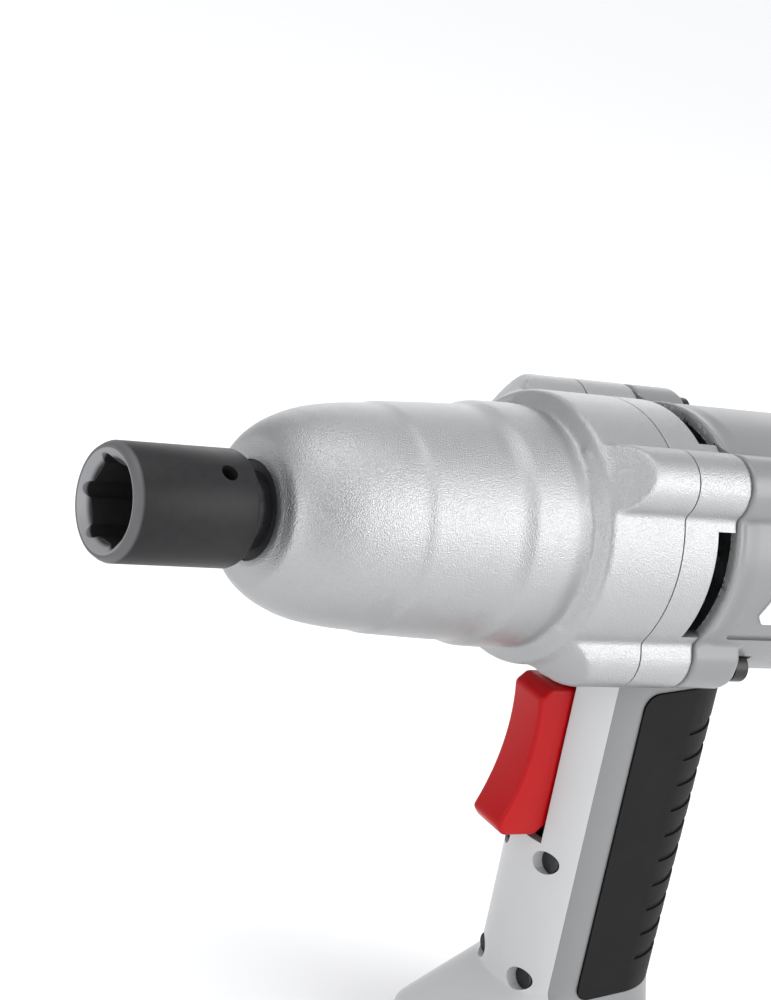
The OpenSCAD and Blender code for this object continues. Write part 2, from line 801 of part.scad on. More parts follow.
// ---- Motor housing and rear cover ----
// Side view of the shallow recess for the label, X rearward from a station and Y up
recess_front = housing_start + 9;
label_front = recess_front + 9;
recess_bottom = -17.3;
recess_top = 24;
label_bottom = -11.1;
label_top = 18;
panel_end = brush_station - cap_r - 12;
recess_depth_side = 0.8;
label_thickness = 0.4;

module panel_outline(front, bottom, top) {
    slant = 0.36;
    offset(r = 1.5, $fn = 24) offset(delta = -1.5)
        polygon([[front + 2.5, bottom], [front - 0.5, bottom + 3], [front + slant * (top - bottom), top],
                 [panel_end, top], [panel_end, bottom]]);
}

module side_panel(outer, inner, front, bottom, top)
    for (flip = [0, 1]) mirror([0, flip, 0]) intersection() {
        on_axis(housing_start) tube(outer, inner, barrel_end - housing_start);
        on_side() linear_extrude(2 * barrel_r) panel_outline(front, bottom, top);
    }

// The raked prism that every handle piece is cut from
module handle_prism(grow, from, to) {
    half = handle_width / 2 + grow;
    middle = handle_width / 2;
    on_handle() translate([0, 0, from]) linear_extrude(to - from) {
        translate([middle, 0]) circle(r = half, $fn = 96);
        translate([handle_depth - middle, 0]) circle(r = half, $fn = 96);
        translate([middle, -half]) square([handle_depth - handle_width, 2 * half]);
    }
}

// Everything of the handle that lies in front of the seam, or behind it when shifted
module handle_slab(front, back)
    on_handle() translate([front, -60, -60]) cube([back - front, 120, 400]);

prism_end = handle_run / cos(handle_rake) + 12;
flare_start = handle_run - foot_height - 18;
foot_corner = 14;

module foot_block(grow, height) {
    corner_x = foot_length / 2 - foot_corner;
    corner_y = foot_width / 2 - foot_corner;
    linear_extrude(height) {
        for (x = [-corner_x, corner_x], y = [-corner_y, corner_y])
            translate([x, y]) circle(r = foot_corner + grow, $fn = 48);
        square([2 * corner_x, foot_width + 2 * grow], center = true);
        square([foot_length + 2 * grow, 2 * corner_y], center = true);
    }
}

// The outside of the whole handle, flared out to its foot on the origin plane
module handle_solid() {
    handle_prism(0, -16, flare_start + eps);
    hull() {
        handle_prism(0.15, flare_start - 0.4, flare_start);
        foot_block(0, foot_height);
    }
}

// The hollow of the handle; the floor of the foot stays closed
module handle_hollow() {
    intersection() {
        handle_prism(-handle_wall, -16, prism_end);
        translate([-100, -50, floor_thickness]) cube([250, 100, axis_height]);
    }
    translate([0, 0, floor_thickness]) foot_block(-floor_thickness, foot_height - 2 * floor_thickness);
}

// Room for the case, the plate and the trigger above and in front of the handle
module handle_clearance() {
    length = housing_start - cone_front + 0.5;
    on_axis(cone_front) cylinder(r = flange_r + 0.4, h = length, $fn = 128);
    on_axis(cone_front) at_lobes() cylinder(r = lobe_r + 0.4, h = length, $fn = 64);
}

grip_top = 5;
grip_bottom = handle_run - foot_height - 16;

module grip_space(gap) intersection() {
    difference() {
        handle_prism(grip_thickness - recess_depth + gap, grip_top - gap, grip_bottom + gap);
        handle_prism(-recess_depth - gap, grip_top - 5, grip_bottom + 5);
    }
    handle_slab(grip_front - gap, handle_depth + 10);
}

module grip_rubber() color(black) difference() {
    grip_space(0);
    on_axis(housing_start - 1) cylinder(r = barrel_r + 0.4, h = 60, $fn = 128);
}

module barrel() {
    on_axis(housing_start) cylinder(r = barrel_r, h = barrel_end - housing_start, $fn = 128);
    on_axis(housing_start) linear_extrude(ear_end - housing_start) difference() {
        flange_outline();
        difference() {
            circle(r = flange_r + 1, $fn = 96);
            circle(r = barrel_r, $fn = 128);
            for (angle = screw_angles) sector(angle, 17.5);
        }
    }
    on_axis(brush_station) rotate([0, 90, 0])
        cylinder(r = cap_r + 3.2, h = 2 * barrel_r, center = true, $fn = 64);
}

head_pocket_r = housing_screw_d * 0.85 + 0.35;
head_pocket_length = housing_screw_d + 2;
head_seat = ear_end - 0.5;
cover_boss_circle = barrel_inner_r - 4.8;
cover_screw_angles = [60, 120, 240, 300];

module at_cover_screws(station)
    for (angle = cover_screw_angles)
        on_axis(station) rotate(angle) translate([cover_boss_circle, 0, 0]) children();

module motor_housing() {
    boss_length = 14;
    color(plastic_grey) difference() {
        union() {
            difference() {
                union() {
                    barrel();
                    difference() {
                        intersection() {
                            handle_solid();
                            handle_slab(cover_depth + seat_gap, 200);
                        }
                        handle_clearance();
                    }
                }
                on_axis(housing_start - 1) cylinder(r = barrel_inner_r, h = 200, $fn = 128);
                handle_hollow();
            }
            handle_bosses();
            clamp_posts();
            at_cover_screws(barrel_end - boss_length)
                cylinder(r = small_screw_d / 2 + 3.2, h = boss_length, $fn = 32);
            on_axis(ear_end - 3) at_screws() intersection() {
                cylinder(r = head_pocket_r + 1.6, h = head_pocket_length + 5, $fn = 48);
                translate([-screw_circle_r + barrel_r - 5, -20, 0]) cube([4, 40, 40]);
            }
            on_axis(stack_end + 0.3) tube(barrel_inner_r + 1, stator_r - 2.5, 2);
            on_axis(stack_start - 3) tube(barrel_inner_r + 1, stator_r - 2.5, 2.8);
        }
        grip_space(seat_gap);
        trigger_bosses(moving_gap);
        side_panel(barrel_r + 2, barrel_r - recess_depth_side, recess_front, recess_bottom, recess_top);
        on_axis(housing_start - 1) at_screws() {
            cylinder(r = housing_screw_d / 2 + 0.3, h = 40, $fn = 32);
            translate([0, 0, head_seat - housing_start + 1])
                cylinder(r = head_pocket_r, h = head_pocket_length, $fn = 48);
        }
        at_cover_screws(barrel_end - boss_length + 2)
            cylinder(r = small_screw_d / 2 + seat_gap, h = boss_length, $fn = 32);
        on_axis(brush_station) rotate([0, 90, 0])
            cylinder(r = cap_r + seat_gap, h = 2 * barrel_r + 8, center = true, $fn = 48);
        gland_bore();
        at_clamp_screws(1.5) cylinder(r = clamp_screw_r + seat_gap, h = foot_height, $fn = 24);
        handle_screw_holes(small_screw_d / 2 + seat_gap);
    }
}

cover_start = barrel_end + seat_gap;
cover_wall = 3;

// The cover's outer profile, or one that lies inside it by a shrink
module cover_shape(shrink) {
    end = cover_end - shrink;
    r = barrel_r - shrink;
    revolve([[0, cover_start], [r, cover_start], [r - 0.5, end - 13], [r - 2.5, end - 6],
             [r - 7, end - 1.5], [r - 11, end], [0, end]]);
}

module cover_bosses() {
    on_axis(rear_bearing_size[3] - 0.2) cylinder(r = rear_bearing_size[1] + 3, h = cover_length, $fn = 64);
    at_cover_screws(cover_start) cylinder(r = small_screw_d / 2 + 3.6, h = cover_length, $fn = 32);
}

module cover_slots() {
    slots = 20;
    for (k = [0 : slots - 1])
        if (k % 5 != 0)
            on_axis(cover_end - 9) rotate(k * 360 / slots + 45) translate([cover_boss_circle + 2, -1.1, 0])
                cube([60, 2.2, 6]);
}

module rear_cover() {
    color(plastic_grey) difference() {
        union() {
            difference() {
                cover_shape(0);
                translate([-1, 0, 0]) cover_shape(cover_wall);
            }
            intersection() {
                cover_shape(0.4);
                cover_bosses();
            }
        }
        on_axis(rear_bearing_size[3] - 1)
            cylinder(r = rear_bearing_size[1] + seat_gap, h = rear_bearing_size[2] + 1, $fn = 64);
        on_axis(rear_bearing_size[3])
            cylinder(r = shaft_tail_r + 1.5, h = rear_bearing_size[2] + 3, $fn = 48);
        at_cover_screws(cover_start - 1) cylinder(r = small_screw_d / 2 + 0.3, h = 60, $fn = 32);
        at_cover_screws(cover_end - 10) cylinder(r = small_screw_d + 0.4, h = 20, $fn = 32);
        cover_slots();
    }
}

module rear_cover_screws() color(black)
    at_cover_screws(barrel_end - 10) {
        cylinder(r = small_screw_d / 2, h = cover_length + 2 * seat_gap, $fn = 32);
        translate([0, 0, cover_length + seat_gap]) difference() {
            cylinder(r = small_screw_d - 0.3, h = small_screw_d * 0.7, $fn = 32);
            translate([0, 0, 1]) cylinder(r = 1.6, h = 4, $fn = 6);
        }
    }

module housing_screws() {
    head_r = housing_screw_d * 0.85;
    hex_depth_in_head = 2.8;
    screw_start = case_end - 14;
    color(black) on_axis(screw_start) at_screws() {
        cylinder(r = housing_screw_d / 2, h = head_seat - screw_start + 2 * seat_gap, $fn = 32);
        translate([0, 0, head_seat - screw_start + seat_gap]) difference() {
            cylinder(r = head_r, h = housing_screw_d, $fn = 48);
            translate([0, 0, housing_screw_d - hex_depth_in_head]) cylinder(r = 2.3, h = 4, $fn = 6);
        }
    }
}

module label_plates() color("white")
    side_panel(barrel_r - recess_depth_side + seat_gap + label_thickness,
               barrel_r - recess_depth_side + seat_gap, label_front, label_bottom, label_top);

// ---- Handle cover, trigger and switch ----
trigger_slot_gap = 2.4;
cover_screw_drops = [trigger_z + 34, handle_run - 35];
cover_screw_side = 10;
cover_screw_start = 4.6;

module handle_screw_holes(radius)
    for (drop = cover_screw_drops, side = [-1, 1])
        on_handle() translate([cover_screw_start - 3, side * cover_screw_side, drop]) rotate([0, 90, 0]) {
            cylinder(r = radius, h = cover_depth + 14, $fn = 24);
            cylinder(r = small_screw_d - 0.2, h = 5.4, $fn = 32);
        }

module trigger_slot() {
    half_w = trigger_width / 2 + 0.8;
    half_h = trigger_height / 2 + trigger_slot_gap;
    translate([pivot_station - origin_station - 30, -half_w, axis_height - trigger_drop - half_h])
        cube([48, 2 * half_w, 2 * half_h]);
}

// Two bosses inside the cover that carry the trigger's pin
module trigger_bosses(gap = 0)
    for (flip = [0, 1]) mirror([0, flip, 0])
        on_side(pivot_station, -trigger_drop) translate([0, 0, trigger_width / 2 + 0.8 - gap])
            cylinder(r = 4.4 + gap, h = pin_half - trigger_width / 2 - 0.8 + 2 * gap, $fn = 48);

module handle_cover() {
    pin_r = 2;
    color([0.86, 0.86, 0.87]) difference() {
        union() {
            difference() {
                intersection() {
                    handle_solid();
                    handle_slab(-60, cover_depth);
                }
                handle_hollow();
                trigger_slot();
            }
            trigger_bosses();
            for (drop = cover_screw_drops, side = [-1, 1])
                intersection() {
                    on_handle() translate([0, side * cover_screw_side, drop])
                        rotate([0, 90, 0]) cylinder(r = 4.4, h = cover_depth, $fn = 32);
                    handle_prism(-0.5, 0, prism_end);
                }
        }
        handle_clearance();
        handle_screw_holes(small_screw_d / 2 + seat_gap);
        on_side(pivot_station, -trigger_drop)
            cylinder(r = pin_r + seat_gap, h = 2 * pin_half, center = true, $fn = 32);
    }
}

// Bosses inside the housing that take the cover's screws
module handle_bosses()
    intersection() {
        for (drop = cover_screw_drops, side = [-1, 1])
            on_handle() translate([cover_depth + seat_gap, side * cover_screw_side, drop]) rotate([0, 90, 0])
                cylinder(r = 4.4, h = 15, $fn = 32);
        handle_prism(-0.5 - recess_depth - seat_gap, 0, prism_end);
    }

module handle_screws() color(black)
    for (drop = cover_screw_drops, side = [-1, 1])
        on_handle() translate([cover_screw_start, side * cover_screw_side, drop]) rotate([0, 90, 0]) {
            cylinder(r = small_screw_d / 2, h = cover_depth + 8, $fn = 24);
            difference() {
                cylinder(r = small_screw_d - 0.5, h = 2.2, $fn = 32);
                translate([0, 0, -1]) cylinder(r = 1.4, h = 2.2, $fn = 6);
            }
        }

// Side view of the rocker: X rearward from the pivot and Y up
module rocker_outline() {
    half = trigger_height / 2;
    nose = pivot_station - 162.5;
    offset(r = 1.5, $fn = 24) offset(delta = -1.5) difference() {
        polygon([[-nose, half - 3], [-nose + 3, half - 1], [-6, half], [0, half - 3],
                 [5, 9], [5, -9], [0, 3 - half],
                 [-6, -half], [-nose + 3, 1 - half], [-nose, 3 - half]]);
        translate([-nose - 66, 0]) circle(r = 70, $fn = 200);
    }
    circle(r = 5, $fn = 32);
}

module trigger() {
    color("red") on_side(pivot_station, -trigger_drop) difference() {
        union() {
            linear_extrude(trigger_width, center = true) rocker_outline();
            for (side = [-1, 1])
                translate([4, side * plunger_arm, 0]) rotate([0, 90, 0]) cylinder(r = 3, h = 4, $fn = 32);
            translate([4, -plunger_arm - 2, -3]) cube([2, 2 * plunger_arm + 4, 6]);
        }
        cylinder(r = 2 + running_fit, h = 2 * trigger_width, center = true, $fn = 32);
    }
}

module trigger_pin() color(steel)
    on_side(pivot_station, -trigger_drop)
        cylinder(r = 2, h = 2 * pin_half - 2 * seat_gap, center = true, $fn = 32);

plunger_start = 8 + moving_gap;
plunger_length = switch_front - pivot_station - plunger_start + 5;

module switch_body() color(black) difference() {
    translate([switch_front - origin_station, -switch_half_width,
               axis_height - trigger_drop - switch_half_height])
        cube([switch_depth, 2 * switch_half_width, 2 * switch_half_height]);
    for (side = [-1, 1])
        on_side(switch_front, -trigger_drop + side * plunger_arm) rotate([0, 90, 0])
            translate([0, 0, -1]) cylinder(r = plunger_r + running_fit, h = 9.5, $fn = 32);
}

module switch_plunger(side) color([0.8, 0.8, 0.78])
    on_side(pivot_station + plunger_start, -trigger_drop + side * plunger_arm) rotate([0, 90, 0])
        cylinder(r = plunger_r, h = plunger_length, $fn = 32);
module switch_plunger_upper() switch_plunger(1);
module switch_plunger_lower() switch_plunger(-1);

// ---- Brushes ----
module on_brush(side) on_axis(brush_station) rotate([0, 90 * side, 0]) children();

module brush_tube_outline(grow)
    square([2 * brush_half[1] + 2 * grow, 2 * brush_half[0] + 2 * grow], center = true);

module brush_holders() color(brass)
    for (side = [-1, 1])
        on_brush(side) translate([0, 0, commutator_r + 2.5])
            linear_extrude(cap_start - commutator_r - 3) difference() {
            brush_tube_outline(1.1);
            brush_tube_outline(0.1);
        }

module brush(side) color([0.2, 0.2, 0.2])
    on_brush(side) translate([0, 0, brush_start]) linear_extrude(brush_length) brush_tube_outline(0);
module brush_left() brush(-1);
module brush_right() brush(1);

module brush_spring(side) color(steel)
    on_brush(side) translate([0, 0, brush_start + brush_length + seat_gap])
        coil_spring(2.4, 0.7, cap_start - brush_start - brush_length - 2 * seat_gap, 4);
module brush_spring_left() brush_spring(-1);
module brush_spring_right() brush_spring(1);

module brush_caps() color(black)
    for (side = [-1, 1])
        on_brush(side) translate([0, 0, cap_start]) difference() {
            cylinder(r = cap_r, h = barrel_r - cap_start, $fn = 48);
            translate([-cap_r - 1, -0.7, barrel_r - cap_start - 1.4]) cube([2 * cap_r + 2, 1.4, 3]);
        }

// ---- Electrical parts in the handle ----
module capacitor() {
    color([0.85, 0.75, 0.3]) on_handle() translate([28, -11, trigger_z + 28]) cube([13, 22, 26]);
}

module terminal_block() {
    poles = 3;
    color("white") on_handle() translate([33, -13, trigger_z + 58]) difference() {
        cube([12, 26, 16]);
        for (k = [0 : poles - 1])
            translate([-1, 5 + 8 * k, 8]) rotate([0, 90, 0]) cylinder(r = 1.8, h = 20, $fn = 24);
    }
}

gland_height = foot_height / 2 + 7;
floor_thickness = 3.5;
gland_r = cord_hole_r + 2.4;
gland_length = 12;
gland_end = foot_length / 2;

gland_front = gland_end - gland_length + 2;
collar_r = gland_r + 1.6;
collar_length = 2.2;

// The bore for the gland, with room for the collar that holds it from inside
module gland_bore()
    translate([gland_front, 0, gland_height]) rotate([0, 90, 0]) {
        cylinder(r = gland_r + seat_gap, h = 2 * gland_length, $fn = 48);
        translate([0, 0, -collar_length])
            cylinder(r = collar_r + 2 * seat_gap, h = 2 * collar_length + seat_gap, $fn = 48);
    }

module cord_gland() color(black)
    translate([gland_front, 0, gland_height]) rotate([0, 90, 0]) difference() {
        union() {
            cylinder(r = gland_r, h = gland_length, $fn = 48);
            cylinder(r = collar_r, h = collar_length, $fn = 48);
        }
        translate([0, 0, -1]) cylinder(r = cord_hole_r, h = gland_length + 2, $fn = 48);
    }

// The clamp bar lies under the cord on two posts that stand on the floor of the foot
clamp_height = gland_height - cord_hole_r - 0.2;
clamp_thickness = 4;
clamp_size = [9, 26];
clamp_start = 4;
clamp_screw_y = 9;
clamp_screw_r = 1.6;

module at_clamp_screws(height)
    for (y = [-clamp_screw_y, clamp_screw_y])
        translate([clamp_start + clamp_size[0] / 2, y, height]) children();

module cord_clamp() color(black) difference() {
    translate([clamp_start, -clamp_size[1] / 2, clamp_height - clamp_thickness])
        cube([clamp_size[0], clamp_size[1], clamp_thickness]);
    at_clamp_screws(0) cylinder(r = clamp_screw_r + 0.1, h = axis_height, $fn = 24);
}

module clamp_posts() {
    post_height = clamp_height - clamp_thickness - floor_thickness - seat_gap;
    at_clamp_screws(floor_thickness - eps) cylinder(r = 3.4, h = post_height + eps, $fn = 32);
}

module clamp_screws() color(steel)
    at_clamp_screws(0) {
        translate([0, 0, 1.6]) cylinder(r = clamp_screw_r, h = clamp_height - 1.6 + 2 * seat_gap, $fn = 24);
        translate([0, 0, clamp_height + seat_gap]) cylinder(r = 3, h = 2, $fn = 32);
    }

impact_socket();
retaining_ring();
anvil();
nose_seal();
anvil_bush();
hammer_case();
hammer();
cam_balls();
thrust_balls();
thrust_washer();
hammer_spring();
spindle();
planet_pins();
planet_gear_1();
planet_gear_2();
planet_gear_3();
ring_gear();
case_gasket();
gear_plate();
spindle_bearing();
front_bearing();
rear_bearing();
spindle_bearing_race();
front_bearing_race();
rear_bearing_race();
motor_shaft();
armature_core();
armature_windings();
commutator();
cooling_fan();
air_baffle();
stator_core();
stator_coils();
motor_housing();
rear_cover();
handle_cover();
grip_rubber();
brush_holders();
brush_left();
brush_right();
brush_spring_left();
brush_spring_right();
brush_caps();
trigger();
trigger_pin();
switch_body();
switch_plunger_upper();
switch_plunger_lower();
capacitor();
terminal_block();
cord_gland();
cord_clamp();
clamp_screws();
housing_screws();
rear_cover_screws();
handle_screws();
label_plates();
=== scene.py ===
# %% [markdown]
# A corded impact wrench with a pistol grip, finished around its packed mechanical model. The model
# gives every piece its real place and size, in metres, with the socket towards -X, the tool's right
# side towards +Y and +Z up. This script keeps the inner pieces as they are, gives each one a finish,
# and builds finer meshes for the castings, mouldings, socket and trigger that the eye meets first.

# %% Load the frame
import json
import math

import bpy
from mathutils import Matrix, Vector


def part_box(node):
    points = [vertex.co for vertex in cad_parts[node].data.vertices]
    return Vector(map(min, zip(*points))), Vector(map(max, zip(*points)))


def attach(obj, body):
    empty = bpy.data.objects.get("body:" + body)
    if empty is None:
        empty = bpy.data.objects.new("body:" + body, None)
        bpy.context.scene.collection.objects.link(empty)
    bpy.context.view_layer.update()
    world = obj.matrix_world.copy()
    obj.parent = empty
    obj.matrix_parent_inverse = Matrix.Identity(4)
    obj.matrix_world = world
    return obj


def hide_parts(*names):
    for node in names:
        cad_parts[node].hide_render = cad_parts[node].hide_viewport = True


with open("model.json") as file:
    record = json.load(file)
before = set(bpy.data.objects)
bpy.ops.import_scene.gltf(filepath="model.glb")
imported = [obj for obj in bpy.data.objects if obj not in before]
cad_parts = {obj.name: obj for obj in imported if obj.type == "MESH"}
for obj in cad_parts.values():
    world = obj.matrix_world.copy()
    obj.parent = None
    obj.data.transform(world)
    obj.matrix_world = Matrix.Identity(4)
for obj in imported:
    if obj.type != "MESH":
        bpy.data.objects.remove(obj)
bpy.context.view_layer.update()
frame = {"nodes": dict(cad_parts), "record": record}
nodes = frame["nodes"]

# %% [markdown]
# Places along the tool are easiest to read as stations: millimetres behind the socket's front face,
# measured on the drive axis. The socket's own box tells where station zero and the axis are.

# %% Stations along the drive axis
MM = 0.001
socket_low, socket_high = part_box("impact_socket")
FACE_X = socket_low.x
AXIS_Z = (socket_low.z + socket_high.z) / 2


def station(s):
    """The X of a station, in metres."""
    return FACE_X + s * MM


print("front face at x =", round(FACE_X, 4), "drive axis at z =", round(AXIS_Z, 4))

# %% [markdown]
# The camera looks at the tool's left side from ahead and a little above, with a long lens, and is
# rolled so that the barrel lies almost level in the picture. It is made first, because the later
# cells are judged through it.

# %% Camera
camera_data = bpy.data.cameras.new("camera")
camera = bpy.data.objects.new("camera", camera_data)
bpy.context.scene.collection.objects.link(camera)
bpy.context.scene.camera = camera
camera_data.sensor_fit = "VERTICAL"
camera_data.sensor_height = 36
camera_data.lens = 98.75
camera_data.clip_start = 0.02
camera_data.clip_end = 50
look = Vector((0.6043, 0.7378, -0.3010)).normalized()
up = Vector((-0.0516, 0.4132, 0.9092))
right = look.cross(up).normalized()
up = right.cross(look)
turn = Matrix((right, up, -look)).transposed().to_4x4()
camera.matrix_world = Matrix.Translation((station(-368.2), -0.558, AXIS_Z + 0.233)) @ turn
print("camera at", [round(v, 3) for v in camera.location])

# %% [markdown]
# A product shot is lit by big soft panels. One faces the nose, a larger one stands behind the tool's
# left shoulder, and a third lifts the far top edge. The gap between the first two leaves the grey
# band that shows the dome's curve. A pale sky and a very soft sun keep the floor white.

# %% Lights and floor
def soft_panel(name, place, size, power, aim):
    """A rectangular area light of (width, height) metres that faces a point."""
    data = bpy.data.lights.new(name, "AREA")
    data.shape = "RECTANGLE"
    data.size, data.size_y = size
    data.energy = power
    panel = bpy.data.objects.new(name, data)
    bpy.context.scene.collection.objects.link(panel)
    panel.location = place
    panel.rotation_euler = (Vector(aim) - Vector(place)).to_track_quat("-Z", "Y").to_euler()
    return panel


tool_middle = (-0.03, 0, AXIS_Z)
soft_panel("nose_panel", (-1.35, -0.50, 0.50), (0.9, 0.9), 5.0, (-0.15, 0, AXIS_Z))
soft_panel("shoulder_panel", (1.0, -1.15, 0.85), (1.5, 1.3), 20.0, tool_middle)
soft_panel("far_panel", (0.9, 1.3, 0.55), (1.2, 0.8), 3.5, tool_middle)
sun_data = bpy.data.lights.new("sun", "SUN")
sun_data.energy = 1.0
sun_data.angle = math.radians(50)
sun = bpy.data.objects.new("sun", sun_data)
bpy.context.scene.collection.objects.link(sun)

world = bpy.data.worlds.new("studio")
bpy.context.scene.world = world
world.use_nodes = True
world.node_tree.nodes["Background"].inputs["Color"].default_value = (0.97, 0.98, 1.0, 1)
world.node_tree.nodes["Background"].inputs["Strength"].default_value = 0.68
bpy.context.scene.view_settings.view_transform = "Standard"
bpy.context.scene.view_settings.look = "None"

bpy.ops.mesh.primitive_plane_add(size=30, location=(0, 0, 0))
floor = bpy.context.active_object
floor.name = "floor"

# %% [markdown]
# Every finish starts from one recipe: a principled surface whose colour and roughness drift a little
# over large patches, and whose normal is stirred by a fine grain. Each material then changes only
# what makes it itself.

# %% A recipe for finishes
def finish(name, colour, roughness, metallic=0.0, patch=(40, 0.04), grain=(1500, 0.1), depth=0.00005):
    """A material whose tone drifts in patches (scale, amount) and whose grain (scale, strength) is a bump."""
    mat = bpy.data.materials.new(name)
    mat.use_nodes = True
    tree = mat.node_tree
    shader = tree.nodes["Principled BSDF"]
    shader.inputs["Metallic"].default_value = metallic
    place = tree.nodes.new("ShaderNodeTexCoord")
    cloud = tree.nodes.new("ShaderNodeTexNoise")
    cloud.name = "cloud"
    cloud.inputs["Scale"].default_value = patch[0]
    cloud.inputs["Detail"].default_value = 4
    tree.links.new(place.outputs["Object"], cloud.inputs["Vector"])
    tone = tree.nodes.new("ShaderNodeMix")
    tone.name = "tone"
    tone.data_type = "RGBA"
    tone.inputs["A"].default_value = (*[max(0.0, c * (1 - patch[1])) for c in colour], 1)
    tone.inputs["B"].default_value = (*[min(1.0, c * (1 + patch[1])) for c in colour], 1)
    tree.links.new(cloud.outputs["Fac"], tone.inputs["Factor"])
    tree.links.new(tone.outputs["Result"], shader.inputs["Base Color"])
    rough = tree.nodes.new("ShaderNodeMapRange")
    rough.name = "rough"
    rough.inputs["To Min"].default_value = max(0.02, roughness * 0.88)
    rough.inputs["To Max"].default_value = min(1.0, roughness * 1.12)
    tree.links.new(cloud.outputs["Fac"], rough.inputs["Value"])
    tree.links.new(rough.outputs["Result"], shader.inputs["Roughness"])
    speck = tree.nodes.new("ShaderNodeTexNoise")
    speck.name = "speck"
    speck.inputs["Scale"].default_value = grain[0]
    speck.inputs["Detail"].default_value = 2
    tree.links.new(place.outputs["Object"], speck.inputs["Vector"])
    bump = tree.nodes.new("ShaderNodeBump")
    bump.name = "bump"
    bump.inputs["Strength"].default_value = grain[1]
    bump.inputs["Distance"].default_value = depth
    tree.links.new(speck.outputs["Fac"], bump.inputs["Height"])
    tree.links.new(bump.outputs["Normal"], shader.inputs["Normal"])
    return mat


floor_paint = finish("floor_paint", (0.96, 0.96, 0.96), 0.9, patch=(1.5, 0.01), grain=(60, 0.02))
floor.data.materials.append(floor_paint)

# %% [markdown]
# The finishes of the tool. The castings carry a silver metallic paint over a fine cast grain, the
# mouldings are satin plastic, and the steels differ in how they were ground, oiled or blackened.

# %% Finishes for every slot
finishes = {
    "cast_silver": finish("cast_silver", (0.40, 0.405, 0.41), 0.34, 0.95, (120, 0.03), (2400, 0.8), 0.0003),
    "housing_grey": finish("housing_grey", (0.22, 0.223, 0.226), 0.36, 0.12, (60, 0.03), (1600, 0.12)),
    "cover_light": finish("cover_light", (0.50, 0.505, 0.51), 0.34, 0.05, (60, 0.02), (1600, 0.1)),
    "socket_black": finish("socket_black", (0.020, 0.020, 0.021), 0.45, 0.2, (300, 0.25), (1800, 0.25)),
    "dark_steel": finish("dark_steel", (0.10, 0.10, 0.11), 0.28, 0.9, (200, 0.15), (900, 0.12)),
    "bright_steel": finish("bright_steel", (0.55, 0.55, 0.56), 0.24, 1.0, (200, 0.08), (900, 0.1)),
    "spring_steel": finish("spring_steel", (0.22, 0.22, 0.23), 0.34, 0.9, (300, 0.1), (900, 0.1)),
    "bronze": finish("bronze", (0.42, 0.27, 0.12), 0.4, 0.9, (400, 0.12), (2500, 0.3)),
    "brass": finish("brass", (0.70, 0.52, 0.20), 0.28, 1.0, (200, 0.08), (900, 0.1)),
    "copper": finish("copper", (0.62, 0.28, 0.13), 0.36, 0.8, (350, 0.15), (1200, 0.35)),
    "grip_rubber": finish("grip_rubber", (0.004, 0.004, 0.0045), 0.62, 0.0, (120, 0.15), (1900, 0.35)),
    "seal_rubber": finish("seal_rubber", (0.02, 0.02, 0.021), 0.5, 0.0, (200, 0.15), (1500, 0.2)),
    "black_plastic": finish("black_plastic", (0.02, 0.02, 0.021), 0.42, 0.0, (150, 0.12), (1500, 0.2)),
    "black_screws": finish("black_screws", (0.03, 0.03, 0.031), 0.36, 0.7, (300, 0.15), (900, 0.15)),
    "trigger_red": finish("trigger_red", (0.40, 0.002, 0.004), 0.34, 0.0, (80, 0.05), (1300, 0.06)),
    "carbon": finish("carbon", (0.03, 0.03, 0.03), 0.6, 0.1, (500, 0.3), (2500, 0.4)),
    "capacitor_yellow": finish("capacitor_yellow", (0.62, 0.42, 0.07), 0.4, 0.0, (100, 0.05), (1200, 0.1)),
    "label_white": finish("label_white", (0.80, 0.80, 0.80), 0.32, 0.0, (50, 0.02), (900, 0.04)),
}

for dull in ("trigger_red", "grip_rubber", "socket_black"):
    shader = finishes[dull].node_tree.nodes["Principled BSDF"]
    shader.inputs["Specular IOR Level"].default_value = 0.18
print("dulled the trigger's, grip's and socket's sheen")

